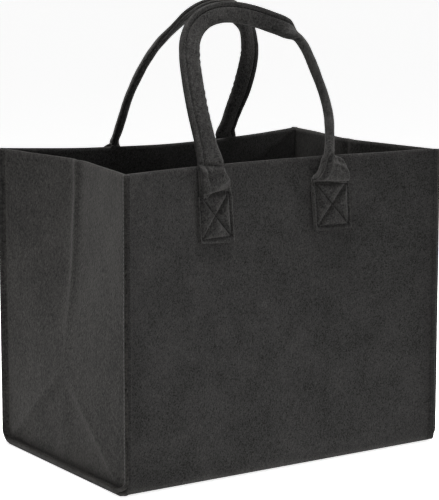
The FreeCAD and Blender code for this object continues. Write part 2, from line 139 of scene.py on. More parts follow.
def grid_faces(rows, columns, start=0, flip=False):
    """The quads of a grid whose points are numbered from start."""
    i, j = np.meshgrid(np.arange(rows - 1), np.arange(columns - 1), indexing="ij")
    a = (start + i * columns + j).ravel()
    quads = np.stack([a, a + columns, a + columns + 1, a + 1], axis=1)
    return quads[:, ::-1] if flip else quads


def thick_sheet(outer, inner):
    """Points and faces of a closed sheet between two grids, with softly rounded cut edges all round."""
    rows, columns = outer.shape[:2]
    flat = np.arange(rows * columns).reshape(rows, columns)
    ring = np.concatenate([flat[0, :-1], flat[:-1, -1], flat[-1, :0:-1], flat[:0:-1, 0]])
    inward = np.concatenate([flat[1, :-1], flat[:-1, -2], flat[-2, :0:-1], flat[:0:-1, 1]])
    top, bottom = outer.reshape(-1, 3).copy(), inner.reshape(-1, 3).copy()
    across = unit(top[ring] - bottom[ring])
    out = (top[ring] - top[inward]) + (bottom[ring] - bottom[inward])
    out = unit(out - across * (out * across).sum(1, keepdims=True))
    levels = [(0.82, 0.40), (0.5, 0.52), (0.18, 0.40)]     # share of the thickness, and how far out
    layers = [top, bottom]
    for share, reach in levels:
        layers.append(bottom[ring] + (top[ring] - bottom[ring]) * share + out * reach)
    points = np.concatenate(layers)
    count = len(top)
    edges = [2 * count + k * len(ring) + np.arange(len(ring)) for k in range(len(levels))]
    rings = [ring, *edges, ring + count]
    faces = [grid_faces(rows, columns), grid_faces(rows, columns, count, flip=True)]
    for upper, lower in zip(rings[:-1], rings[1:]):
        faces.append(np.stack([upper, np.roll(upper, -1), np.roll(lower, -1), lower], axis=1))
    return points, np.concatenate(faces)


def half_turn(points):
    """The points after half a turn about Z."""
    return np.asarray(points) * np.array([-1.0, -1.0, 1.0])


# --- materials -----------------------------------------------------------------------------------------

def add_ramp(tree, value, socket, low, high, low_colour, high_colour):
    """Turns a value into a colour between two, and feeds it to a socket."""
    ramp = tree.nodes.new("ShaderNodeValToRGB")
    first, last = ramp.color_ramp.elements
    first.position, first.color = low, (*low_colour, 1)
    last.position, last.color = high, (*high_colour, 1)
    tree.links.new(value, ramp.inputs["Fac"])
    tree.links.new(ramp.outputs["Color"], socket)


def add_bump(tree, height, shader, strength, distance):
    """Raises the surface of a shader by a value."""
    bump = tree.nodes.new("ShaderNodeBump")
    bump.inputs["Strength"].default_value = strength
    bump.inputs["Distance"].default_value = distance
    tree.links.new(height, bump.inputs["Height"])
    tree.links.new(bump.outputs["Normal"], shader.inputs["Normal"])


def felt_material(name, dark, light, grain):
    """Needle-punched felt: matted fibres lying every way, as colour flecks and an uneven, matt surface.
    grain is how fine its fibres are, 1 on the front wall."""
    material = bpy.data.materials.new(name)
    material.use_nodes = True
    nodes, links = material.node_tree.nodes, material.node_tree.links
    shader = nodes["Principled BSDF"]
    shader.inputs["Roughness"].default_value = 0.95
    shader.inputs["Specular IOR Level"].default_value = 0.12
    shader.inputs["Sheen Weight"].default_value = 0.10
    shader.inputs["Sheen Roughness"].default_value = 0.5
    shader.inputs["Sheen Tint"].default_value = (0.62, 0.60, 0.58, 1)
    place = nodes.new("ShaderNodeTexCoord")

    def noise(scale, detail, azimuth=0.0, elevation=0.0, long=1.0, distortion=0.0):
        """Noise drawn out along one direction, so that it looks like lying fibres."""
        mapping = nodes.new("ShaderNodeMapping")
        mapping.vector_type = "TEXTURE"
        mapping.inputs["Rotation"].default_value = (0, -math.radians(elevation), math.radians(azimuth))
        mapping.inputs["Scale"].default_value = (long, 1, 1)
        links.new(place.outputs["Object"], mapping.inputs["Vector"])
        texture = nodes.new("ShaderNodeTexNoise")
        texture.inputs["Scale"].default_value = scale * grain
        texture.inputs["Detail"].default_value = detail
        texture.inputs["Roughness"].default_value = 0.6
        texture.inputs["Distortion"].default_value = distortion
        links.new(mapping.outputs["Vector"], texture.inputs["Vector"])
        return texture.outputs["Fac"]

    def join(a, b, operation):
        node = nodes.new("ShaderNodeMath")
        node.operation = operation
        links.new(a, node.inputs[0])
        links.new(b, node.inputs[1])
        return node.outputs[0]

    def blend_of(a, b, share):
        node = nodes.new("ShaderNodeMix")
        node.data_type = "FLOAT"
        node.inputs["Factor"].default_value = share
        links.new(a, node.inputs["A"])
        links.new(b, node.inputs["B"])
        return node.outputs["Result"]

    rising = noise(880, 2.0, 45, 50, 9.0)
    falling = noise(940, 2.0, 225, 42, 10.0)
    level = noise(800, 2.0, -35, 12, 8.0)
    speck = noise(1200, 2.0, distortion=1.0)
    cloud = noise(30, 3.0, distortion=0.5)
    crossed = blend_of(join(rising, falling, "MAXIMUM"), level, 0.3)
    fine = blend_of(crossed, speck, 0.25)
    tone = blend_of(fine, cloud, 0.14)
    add_ramp(material.node_tree, tone, shader.inputs["Base Color"], 0.42, 0.68, dark, light)
    add_bump(material.node_tree, fine, shader, strength=1.0, distance=0.0008)
    return material


def thread_material():
    """Dark twisted sewing thread."""
    material = bpy.data.materials.new("sewing_thread")
    material.use_nodes = True
    nodes, links = material.node_tree.nodes, material.node_tree.links
    shader = nodes["Principled BSDF"]
    shader.inputs["Roughness"].default_value = 0.75
    shader.inputs["Specular IOR Level"].default_value = 0.12
    place = nodes.new("ShaderNodeTexCoord")
    texture = nodes.new("ShaderNodeTexNoise")
    texture.inputs["Scale"].default_value = 2600
    texture.inputs["Detail"].default_value = 2
    links.new(place.outputs["Object"], texture.inputs["Vector"])
    add_ramp(material.node_tree, texture.outputs["Fac"], shader.inputs["Base Color"], 0.0, 1.0,
             (0.001, 0.001, 0.001), (0.006, 0.006, 0.006))
    add_bump(material.node_tree, texture.outputs["Fac"], shader, strength=0.6, distance=0.0003)
    return material


wall_felt = felt_material("wall_felt", (0.0020, 0.0019, 0.0018), (0.0400, 0.0388, 0.0374), 1.0)
side_felt = felt_material("side_felt", (0.0012, 0.0011, 0.0010), (0.0380, 0.0365, 0.0340), 0.6)
handle_felt = felt_material("handle_felt", (0.0014, 0.0013, 0.0013), (0.0500, 0.0487, 0.0468), 0.85)
thread = thread_material()


# --- the walls -----------------------------------------------------------------------------------------
# Corner flanges: the angle of each from the X axis, on the walls. The front left and back right corners
# are pushed round, so theirs point mostly forwards and backwards.
FLANGE_ANGLES = {(-1, -1): 66.0, (1, -1): 47.0, (-1, 1): 47.0, (1, 1): 66.0}


def height_share(z):
    """How far up the wall's lean a height is, 1 at the rim."""
    return np.clip((z - BOW_START) / (RIM - BOW_START), 0, None)


def wall_bow(x, z):
    """How far the front or back wall leans in."""
    across = np.clip(1 - (x / SEAM_X) ** 2, 0, None)
    return BOW * height_share(z) * across


def wall_waves(x, z, seed):
    """The small unevenness of a soft wall, nothing at its sewn edges and at the floor."""
    free = np.clip(1 - (x / SEAM_X) ** 2, 0, 1) ** 0.5 * smooth_step(z, 5, 60)
    return free * (0.9 * wander(x, z, 85, seed) + 0.35 * wander(x, z, 34, seed + 1))


def flange_weight(round_fold):
    """1 on the walls, 0 on the floor; round_fold is how far round the fold at the floor a point lies."""
    return 1 - smooth_step(round_fold, 0.0, math.radians(62))


def wrap_section():
    """Stations along the wrap, from the front rim under the floor to the back rim: position in Y and Z,
    outward direction, how far round the fold, and which wall."""
    radius = FLOOR_BEND
    level = HALF
    reach = SEAM_Y + HALF
    heights = np.concatenate([np.linspace(RIM, 60, 80), np.linspace(57, level + radius, 18)])
    wall = [(-reach, z, -1.0, 0.0, 0.0) for z in heights]
    turns = np.linspace(0, math.pi / 2, 12)[1:-1]
    arc = [(-reach + radius * (1 - math.cos(t)), level + radius * (1 - math.sin(t)),
            -math.cos(t), -math.sin(t), t) for t in turns]
    spread = np.linspace(-reach + radius, reach - radius, 61)
    floor = [(y, level, 0.0, -1.0, math.pi / 2) for y in spread]
    first = np.array(wall + arc + floor)
    back = np.array(wall + arc)[::-1].copy()
    back[:, 0] *= -1
    back[:, 2] *= -1
    return np.concatenate([first, back])


def flange_curve(extra, start_angle, end_angle, straight, bend):
    """Where a flange's middle line is, extra millimetres beyond its start: forwards and outwards."""
    sweep = np.maximum(end_angle - start_angle, 1e-4)
    arc = bend * sweep
    along = np.minimum(extra, straight)
    angle = start_angle + np.clip((extra - straight) / arc, 0, 1) * sweep
    rest = np.clip(extra - straight - arc, 0, None)
    forwards = (along * np.cos(start_angle) + bend * (np.sin(angle) - np.sin(start_angle))
                + rest * np.cos(end_angle))
    outwards = (along * np.sin(start_angle) + bend * (np.cos(start_angle) - np.cos(angle))
                + rest * np.sin(end_angle))
    return forwards, outwards


BEND_FROM = 166.5      # where the wrap starts to turn into its flanges, across


def wrap_middle():
    """The wrap's middle surface as a grid: across, then along."""
    section = wrap_section()
    inside = np.linspace(-BEND_FROM, BEND_FROM, 112)
    beyond = np.array([0.6, 1.2, 1.8, 2.4, 3.0, 3.6, 4.2, 4.8, 5.6, 6.5, 7.4, 8.3, 9.1])
    columns = np.concatenate([-BEND_FROM - beyond[::-1], inside, BEND_FROM + beyond])
    p, station = np.meshgrid(columns, np.arange(len(section)), indexing="ij")
    y0, z0, ny, nz, round_fold = (section[station, k] for k in range(5))
    side = np.sign(p)
    wall = np.where(np.abs(ny) < 1e-9, 0, np.sign(ny))     # -1 front, 1 back, 0 floor
    weight = flange_weight(round_fold)
    core = np.clip(p, -BEND_FROM, BEND_FROM)
    extra = np.clip(np.abs(p) - BEND_FROM, 0, None)
    share = height_share(z0)
    bow = wall_bow(core, z0) * np.abs(ny)
    slope = 2 * BOW * share * BEND_FROM / SEAM_X ** 2 * weight
    target = np.zeros_like(p)
    for (side_x, side_y), angle in FLANGE_ANGLES.items():
        target = np.where((side == side_x) & (wall == side_y), math.radians(angle), target)
    start = np.arctan(slope)
    end = np.maximum(target * weight, start)
    flange_x, flange_out = flange_curve(extra, start, end, 2.0, FLANGE_BEND)
    x = core + side * flange_x
    out = -bow + flange_out * (wall != 0)
    out = out + wall_waves(core, z0, FRONT_WAVES) * (wall < 0) + wall_waves(core, z0, BACK_WAVES) * (wall > 0)
    high = smooth_step(z0, 120, RIM)
    dip = SAG * np.clip(1 - (core / SEAM_X) ** 2, 0, 1) * high * (wall != 0)
    dip = dip + high * (0.5 * wander(p, wall * 200, 45, WRAP_RIM) + 0.5)
    return np.stack([x, y0 + ny * out, z0 + nz * out - dip], axis=-1)


def fold_in(y, z):
    """How far in a gusset is folded at a place, with its creases."""
    depth = np.interp(z, FOLD_HEIGHTS, FOLD_DEPTHS)
    run = np.abs(y) / SEAM_Y
    valley = depth * (1 - run) * np.clip(1 - 0.25 * np.exp(-np.abs(y) / 6.0), 0, 1)
    crease_line = MEET * (1 - run)
    off = z - crease_line
    softly = np.clip(run * 6, 0, 1) * np.clip((1 - run) * 7, 0, 1)
    ridge = -1.5 * np.exp(-np.abs(off) / 9.0) * softly
    below = 0.8 * smooth_step(off, 8, -18) * softly
    return valley + ridge + below


def gusset_waves(y, z, seed):
    """The small unevenness of a gusset, nothing at its sewn edges."""
    free = np.clip(1 - (y / SEAM_Y) ** 2, 0, 1) ** 0.5 * smooth_step(z, 4, 40)
    return free * (0.8 * wander(y, z, 62, seed) + 0.35 * wander(y, z, 27, seed + 1))


def gusset_middle(side):
    """A gusset's middle surface as a grid: along Y, then up. side is -1 for the left one."""
    edge = SEAM_Y - 3.0                       # where the walls' flanges start to bend
    floor = 2 * THICK - HALF + LAYER_GAP      # middle height of the flange on the floor
    low_edge = floor + 3.2
    corner = 7.0
    length = 9.6
    reach = corner + length
    inside = np.linspace(-(edge - corner), edge - corner, 74)
    fan = np.linspace(0, 1, 15)[1:]
    u = np.concatenate([-(edge - corner) - fan[::-1] * reach, inside, (edge - corner) + fan * reach])
    up = np.concatenate([low_edge + corner - fan[::-1] * reach, np.linspace(low_edge + corner, 60, 17),
                         np.linspace(63, RIM, 76)])
    uu, vv = np.meshgrid(u, up, indexing="ij")
    # the two bottom corners: squares become quarter discs
    du = np.clip(np.abs(uu) - (edge - corner), 0, None) / reach
    dv = np.clip((low_edge + corner) - vv, 0, None) / reach
    both = (du > 0) & (dv > 0)
    pu = np.where(both, du * np.sqrt(1 - dv ** 2 / 2), du) * reach
    pv = np.where(both, dv * np.sqrt(1 - du ** 2 / 2), dv) * reach
    from_centre = np.hypot(pu, pv)
    nu = np.where(from_centre > 1e-6, pu / np.maximum(from_centre, 1e-6), 0)
    nv = np.where(from_centre > 1e-6, pv / np.maximum(from_centre, 1e-6), 0)
    inner = np.minimum(from_centre, corner)
    extra = np.clip(from_centre - corner, 0, None)
    base_u = np.where(np.abs(uu) > edge - corner, np.sign(uu) * (edge - corner + nu * inner), uu)
    base_v = np.where(vv < low_edge + corner, low_edge + corner - nv * inner, vv)
    round_fold = np.where(extra > 0, np.arctan2(nv, np.maximum(nu, 1e-9)), 0)
    weight = flange_weight(round_fold)
    wall = np.sign(uu)
    target = np.zeros_like(uu)
    for (side_x, side_y), angle in FLANGE_ANGLES.items():
        if side_x == side:
            target = np.where(wall == side_y, math.radians(angle), target)
    end = (math.pi / 2 - target) * weight + (math.pi / 2) * (1 - weight)
    start = np.zeros_like(end)
    out_n, out_x = flange_curve(extra, start, end, 1.2, GUSSET_BEND)
    waves = gusset_waves(base_u, base_v, LEFT_WAVES if side < 0 else RIGHT_WAVES)
    depth = fold_in(base_u, base_v) - waves
    x = SEAM_X + HALF - depth + out_x
    y = base_u + np.sign(uu) * nu * out_n
    z = base_v - nv * out_n
    high = smooth_step(base_v, 200, RIM)
    z = z - high * (0.4 * wander(uu, side * 90, 40, GUSSET_RIM) + 0.8)
    return np.stack([side * x, y, z], axis=-1)


def offset_pair(middle, facing):
    """The outer and the inner face of a sheet. facing is 1 where its grid's normals point outwards, else -1."""
    step = surface_normals(middle) * facing * HALF
    return middle + step, middle - step


def face_outwards(obj):
    """Makes all face normals of a closed mesh point out of it."""
    mesh = bmesh.new()
    mesh.from_mesh(obj.data)
    bmesh.ops.recalc_face_normals(mesh, faces=mesh.faces)
    mesh.to_mesh(obj.data)
    mesh.free()
    obj.data.update()


def build_wrap():
    """The strip that is the front, the bottom and the back, with its middle and outer surfaces."""
    middle = wrap_middle()
    outer, inner = offset_pair(middle, -1)
    points, faces = thick_sheet(outer, inner)
    points[:, 2] = np.maximum(points[:, 2], 0.0)
    wrap = new_object("front_bottom_back_felt", points, faces, wall_felt)
    face_outwards(wrap)
    return wrap, middle, outer


def build_gusset(name, side):
    """A side gusset, with its middle and outer surfaces."""
    middle = gusset_middle(side)
    outer, inner = offset_pair(middle, side)
    gusset = new_object(f"{name}_side_felt", *thick_sheet(outer, inner), side_felt)
    face_outwards(gusset)
    return gusset, middle, outer


SIDES = {"left": -1, "right": 1}
wrap, wrap_mid, wrap_outer = build_wrap()
gussets = {name: build_gusset(name, side) for name, side in SIDES.items()}


# --- stitches ------------------------------------------------------------------------------------------

STITCH_SIDES = 6


def capsule(centre, along, normal, length, width, height):
    """One stitch: a small flattened capsule lying along a direction."""
    along = along / np.linalg.norm(along)
    side = np.cross(normal, along)
    side = side / np.linalg.norm(side)
    up = np.cross(along, side)
    # place along the stitch and share of its full girth
    profile = ((-0.5, 0.0), (-0.46, 0.62), (-0.3, 0.95), (0.0, 1.0), (0.3, 0.95), (0.46, 0.62), (0.5, 0.0))
    rings = []
    for t, girth in profile:
        if girth == 0.0:
            rings.append([centre + along * t * length - up * height * 0.35])
            continue
        dip = -0.45 * height * (abs(t) / 0.5) ** 2
        ring = []
        for k in range(STITCH_SIDES):
            a = 2 * math.pi * k / STITCH_SIDES
            ring.append(centre + along * t * length + side * math.cos(a) * width * girth / 2
                        + up * (math.sin(a) * height * girth / 2 + dip))
        rings.append(ring)
    points, faces, starts = [], [], []
    for ring in rings:
        starts.append(len(points))
        points += ring
    for a, b in zip(range(len(rings) - 1), range(1, len(rings))):
        for k in range(STITCH_SIDES):
            beside = (k + 1) % STITCH_SIDES
            if len(rings[a]) == 1:
                faces.append([starts[a], starts[b] + beside, starts[b] + k])
            elif len(rings[b]) == 1:
                faces.append([starts[a] + k, starts[a] + beside, starts[b]])
            else:
                faces.append([starts[a] + k, starts[a] + beside, starts[b] + beside, starts[b] + k])
    return points, faces


def stitch_line(points, normals, pitch=STITCH_PITCH, length=2.9, width=0.85, height=0.6, lift=0.05):
    """Stitches along a line of surface points, in order."""
    points, normals = np.asarray(points, float), np.asarray(normals, float)
    steps = np.linalg.norm(np.diff(points, axis=0), axis=1)
    run = np.concatenate([[0], np.cumsum(steps)])
    count = max(1, int(run[-1] // pitch))
    made = []
    for n in range(count):
        middle = (n + 0.5) * run[-1] / count

        def at(values, s):
            return np.array([np.interp(s, run, values[:, k]) for k in range(3)])

        here = at(points, middle)
        along = at(points, min(run[-1], middle + 1)) - at(points, max(0, middle - 1))
        normal = at(normals, middle)
        normal = normal / np.linalg.norm(normal)
        made.append(capsule(here + normal * lift, along, normal, length, width, height))
    return made


def stitches_object(name, groups):
    """All the stitches of one seam as one object."""
    points, faces = [], []
    for group_points, group_faces in groups:
        start = len(points)
        points += list(group_points)
        faces += [[start + i for i in f] for f in group_faces]
    return new_object(name, points, faces, thread)


def seam_stitches(side, gusset_out, gusset_mid):
    """The corner seam: stitches on the gusset's flange and on the wrap's flange, down, under and up."""
    rows, columns = gusset_out.shape[:2]
    inset = 3              # rows of the grid from the raw edge
    ring = ([(inset, j) for j in range(columns - 1, inset, -1)]
            + [(i, inset) for i in range(inset, rows - inset)]
            + [(rows - 1 - inset, j) for j in range(inset, columns)])
    face = np.array([gusset_out[i, j] for i, j in ring])
    middle = np.array([gusset_mid[i, j] for i, j in ring])
    groups = stitch_line(face, unit(face - middle))
    column = 4 if side < 0 else len(wrap_outer) - 5
    face, middle = wrap_outer[column], wrap_mid[column]
    above_floor = face[:, 2] > 12
    half = len(face) // 2
    for part in (slice(0, half), slice(half, None)):
        keep = above_floor[part]
        groups += stitch_line(face[part][keep], unit(face[part][keep] - middle[part][keep]))
    return groups


seams = {}
for name, (_, gusset_mid, gusset_out) in gussets.items():
    groups = seam_stitches(SIDES[name], gusset_out, gusset_mid)
    seams[name] = stitches_object(f"{name}_seam_stitches", groups)


# --- the handles ---------------------------------------------------------------------------------------
# Middle line of each loop in its leaning plane: across, and along from the rim. The two handles hang a
# little differently, as soft straps do, and each is given as seen from its own side of the bag.
FRONT_LOOP = [
    (-70.3, 0), (-70.8, 14), (-71.4, 30), (-71.8, 50), (-70.6, 79), (-68.3, 101), (-64.0, 116.5),
    (-56.0, 128), (-43.5, 137), (-27, 141.8), (-8, 141.6), (10, 137.8), (28, 131.5), (44, 124.5),
    (54.5, 116), (60, 107),
    (64, 94), (68, 74), (71, 54), (71.0, 36), (67.5, 18), (64.5, 6), (62.5, 0)]
BACK_LOOP = [
    (-68.5, 0), (-69.5, 14), (-71, 28.7), (-74.0, 51), (-74.4, 73.7), (-72.3, 94), (-67, 110), (-58.7, 125.7),
    (-48, 135.5), (-35, 142.5), (-18, 146), (-1, 143.5), (12, 136.5), (25, 123), (38, 106), (46.5, 88.5),
    (53, 68), (57.0, 49), (59.0, 26), (60.5, 10), (61.5, 0)]
# The twist of each strap in degrees, at shares of its loop's length.
FRONT_TWIST = [
    (0, -12), (0.13, -10), (0.26, -8), (0.33, 0), (0.39, 10), (0.52, 22), (0.59, 24), (0.635, 14),
    (0.653, -18), (0.671, -46), (0.69, -56), (0.78, -56), (0.96, -54), (1, -48)]
BACK_TWIST = [
    (0, 12), (0.04, 12), (0.14, -8), (0.21, -8), (0.264, 5), (0.31, 20), (0.36, 28), (0.40, 15), (0.443, 0),
    (0.492, -17), (0.54, -25), (0.581, -34), (0.633, -44), (0.693, -49), (0.81, -52), (0.95, -54), (1, -50)]
FRONT_HANDLE = {"loop": FRONT_LOOP, "twist": FRONT_TWIST, "lean": math.radians(22.0), "thick": 9.0}
BACK_HANDLE = {"loop": BACK_LOOP, "twist": BACK_TWIST, "lean": math.radians(24.0), "thick": 8.4}


# columns of a station: place, direction the strap faces, width, thickness, folded share and twist
PLACE, FACING, WIDE, DEEP, FOLDED_SHARE, TWIST = slice(0, 3), slice(3, 6), 6, 7, 8, 9


def wall_y(x, z):
    """The front wall's outer face."""
    return -(SEAM_Y + THICK) + wall_bow(x, z) - wall_waves(x, z, FRONT_WAVES)


def strip_stations(shape):
    """The handle strip's middle line with its section at each station, from one tab's end to the other's."""
    rows = []

    def on_wall(x, z, thick, wide, folded, twist):
        y = wall_y(x, z) - thick / 2 - 0.15
        normal = np.array([-2 * BOW * height_share(z) * x / SEAM_X ** 2, -1.0, 0.11])
        rows.append([x, y, z, *unit(normal), wide, thick, folded, twist])

    back, rise = math.sin(shape["lean"]), math.cos(shape["lean"])
    lean = np.array([0, -rise, back])
    # across, up, thickness, width, folded share and share of the strap's first twist
    left = [
        (-65.9, TAB_LOW, THICK, TAB_WIDE, 0.0, 0.0), (-65.7, 222, THICK, TAB_WIDE, 0.0, 0.0),
        (-65.6, 240, THICK, TAB_WIDE, 0.0, 0.0), (-65.5, 258, THICK, TAB_WIDE, 0.0, 0.0),
        (-65.6, 262.5, THICK + 0.2, 39.6, 0.05, 0.0), (-66.2, 265.5, 6.4, 38.2, 0.2, 0.0),
        (-67.4, 269, 9.8, 35.0, 0.36, 0.1), (-68.8, 274, 11.4, 31.0, 0.52, 0.3),
        (-69.8, 280, 11.0, 27.6, 0.68, 0.6), (-70.3, 286, 10.0, 25.4, 0.84, 0.9)]
    first, last = shape["twist"][0][1], shape["twist"][-1][1]
    for x, z, thick, wide, folded, share in left:
        on_wall(x, z, thick, wide, folded, share * first)
    places = np.array([(across, HANDLE_Y + along * back, RIM + along * rise)
                       for across, along in shape["loop"]])
    runs = np.concatenate([[0], np.cumsum(np.linalg.norm(np.diff(places, axis=0), axis=1))])
    total = runs[-1]
    for run, here in zip(runs, places):
        wide = STRAP_WIDE + 4.6 * math.exp(-run / 9.0) + 1.5 * math.exp(-(total - run) / 8.0)
        twist = np.interp(run / total, *zip(*shape["twist"]))
        rows.append([*here, *lean, wide, shape["thick"], 1.0, twist])
    # the same, with the share of its last twist
    right = [
        (62.4, 286, 11.0, 23.5, 0.90, 0.68), (63.2, 280, 12.2, 28.5, 0.72, 0.36),
        (63.8, 274, 12.6, 33.0, 0.54, 0.14), (63.9, 269, 10.6, 36.6, 0.34, 0.04),
        (63.8, 265.5, 6.6, 38.6, 0.18, 0.0), (63.6, 262.5, THICK + 0.2, 39.6, 0.05, 0.0),
        (63.6, 258, THICK, TAB_WIDE, 0.0, 0.0), (63.9, 240, THICK, TAB_WIDE, 0.0, 0.0),
        (64.4, 222, THICK, TAB_WIDE, 0.0, 0.0), (64.5, TAB_LOW + 0.6, THICK, TAB_WIDE, 0.0, 0.0)]
    for x, z, thick, wide, folded, share in right:
        on_wall(x, z, thick, wide, folded, share * last)
    return np.array(rows, float)


def spline_through(values, knots, at):
    """Catmull-Rom values at positions between knots."""
    k = np.clip(np.searchsorted(knots, at, side="right") - 1, 0, len(knots) - 2)
    t = ((at - knots[k]) / (knots[k + 1] - knots[k]))[:, None]
    slopes = np.gradient(values, knots, axis=0)
    width = (knots[k + 1] - knots[k])[:, None]
    a, b = values[k], values[k + 1]
    ma, mb = slopes[k] * width, slopes[k + 1] * width
    return ((2 * t ** 3 - 3 * t ** 2 + 1) * a + (t ** 3 - 2 * t ** 2 + t) * ma
            + (-2 * t ** 3 + 3 * t ** 2) * b + (t ** 3 - t ** 2) * mb)


# Front halves of the strip's section, from one edge to the other: folded over its cord, with the groove of its
# seam, and flat.
AROUND = 104
FOLDED_WIDE, FOLDED_DEEP = 20.0, 9.6
FOLDED = [(-10, 0.0), (-9.75, 1.5), (-9.0, 3.0), (-7.6, 4.1), (-5.5, 4.7), (-3.0, 4.8), (0, 4.55),
          (2.4, 4.3), (4.0, 3.9), (4.9, 2.7), (5.6, 2.7), (6.5, 3.5), (8.6, 3.6), (9.6, 3.2),
          (10, 2.2), (9.95, 1.2), (9.5, 0.5), (8.4, 0.1)]
FLAT = [(-20, 0.0), (-19.95, 0.6), (-19.8, 1.2), (-19.4, 1.55), (-18.6, 1.65), (-15, 1.65), (-10, 1.65),
        (-5, 1.65), (0, 1.65), (5, 1.65), (10, 1.65), (15, 1.65), (18.6, 1.65), (19.4, 1.55),
        (19.8, 1.2), (19.95, 0.6), (20, 0.2), (20, 0.0)]


def outline(corners):
    """The full closed outline with AROUND points; the first half is the outer face."""
    corners = np.array(corners, float)
    steps = np.linalg.norm(np.diff(corners, axis=0), axis=1)
    run = np.concatenate([[0], np.cumsum(steps)])
    half = AROUND // 2
    at = (np.arange(half) + 0.5) / half * run[-1]
    upper = np.stack([np.interp(at, run, corners[:, k]) for k in range(2)], axis=1)
    lower = upper[::-1] * np.array([1, -1])
    return np.concatenate([upper, lower])


def sew_lines(high, low, left, right):
    """The box and its cross, in the tab's own plane."""
    return [((left, high), (right, high)), ((left, low), (right, low)), ((left, low), (left, high)),
            ((right, low), (right, high)), ((left, low), (right, high)), ((left, high), (right, low))]


def distance_to(lines, x, z):
    """How far points are from the nearest of some lines, in the wall's plane."""
    best = np.full(np.shape(x), 1e9)
    for (x0, z0), (x1, z1) in lines:
        dx, dz = x1 - x0, z1 - z0
        t = np.clip(((x - x0) * dx + (z - z0) * dz) / (dx * dx + dz * dz), 0, 1)
        best = np.minimum(best, np.hypot(x - x0 - t * dx, z - z0 - t * dz))
    return best


# the sewn box of each tab: top, bottom, left and right line
BOXES = {-1: (262.6, 221.8, -82.6, -48.6), 1: (263.2, 222.6, 47.9, 81.6)}


def smoothed(values):
    """Values every 0.25 mm, softened over a few millimetres."""
    kernel = np.exp(-(np.arange(-16, 17) / 8.0) ** 2)
    return np.convolve(np.pad(values, 16, mode="edge"), kernel / kernel.sum(), mode="valid")


def build_strip(shape):
    """The plain strip: its stations, sections and the directions across it and out of its front."""
    rows = strip_stations(shape)
    knots = np.concatenate([[0], np.cumsum(np.linalg.norm(np.diff(rows[:, PLACE], axis=0), axis=1))])
    dense = spline_through(rows, knots, np.arange(0, knots[-1], 0.25))
    for k in range(FACING.start, dense.shape[1]):
        dense[:, k] = smoothed(dense[:, k])
    run = np.concatenate([[0], np.cumsum(np.linalg.norm(np.diff(dense[:, PLACE], axis=0), axis=1))])
    stations = np.arange(0, run[-1], 1.05)
    values = np.stack([np.interp(stations, run, dense[:, k]) for k in range(dense.shape[1])], axis=1)
    centre = values[:, PLACE]
    tangent = unit(np.gradient(centre, axis=0))
    front = values[:, FACING]
    front = unit(front - tangent * (front * tangent).sum(1, keepdims=True))
    outward = np.cross(front, tangent)
    twist = np.radians(values[:, TWIST])[:, None]
    across = np.cos(twist) * outward + np.sin(twist) * front
    normals = -np.sin(twist) * outward + np.cos(twist) * front
    wide, deep = values[:, WIDE], values[:, DEEP]
    folded = values[:, FOLDED_SHARE][:, None, None]
    flat_part = outline(FLAT)[None] * np.stack([wide / TAB_WIDE, deep / THICK], axis=1)[:, None, :]
    folded_part = outline(FOLDED)[None] * np.stack([wide / FOLDED_WIDE, deep / FOLDED_DEEP], axis=1)[:, None, :]
    section = flat_part * (1 - folded) + folded_part * folded
    points = centre[:, None] + across[:, None] * section[..., :1] + normals[:, None] * section[..., 1:]
    return stations, values, points, across, normals, section


def tab_relief(points, side):
    """How far the tab's front face is drawn in along its stitches and puffs up between them."""
    high, low, left, right = BOXES[side]
    x, z = points[..., 0], points[..., 2]
    away = distance_to(sew_lines(high, low, left, right), x, z)
    groove = -1.5 * np.exp(-(away / 1.3) ** 2)
    inside = (x > left) & (x < right) & (z > low) & (z < high)
    puff = np.where(inside, 2.0 * (1 - np.exp(-(away / 4.5) ** 2)), 0.3 * (1 - np.exp(-away / 1.5)))
    return (groove + puff) * smooth_step(z, 268, 264.5)


def root_creases(points, left):
    """Creases in the gathered roots: level ones on the left, where the strap leaves the wall; on the right a
    slanting one, and small folds round the tab's corner."""
    x, z = points[..., 0], points[..., 2]
    uneven = wander(x, z, 9.0, ROOT_CREASES)
    level = (0.7 * bell(z + uneven, 283.5, 3.0) - 1.5 * bell(z + 0.12 * (x + 70) + uneven, 289.0, 1.5)
             - 0.8 * bell(z - 0.2 * x + uneven, 294.0, 1.6))
    gap = distance_to([((48, 266), (57.5, 289))], x, z)
    slanting = bell(gap, 4.2, 2.2) - 2.0 * bell(gap, 0, 1.8)
    folds = 0.55 * np.sin(np.hypot(x - 62, z - 262) * 2 * math.pi / 6.0) * smooth_step(z, 266, 271)
    creases = np.where(left[:, None], level, slanting + folds * (x > 62))
    return creases * smooth_step(z, 264.5, 267.5) * (1 - smooth_step(z, 291, 297))


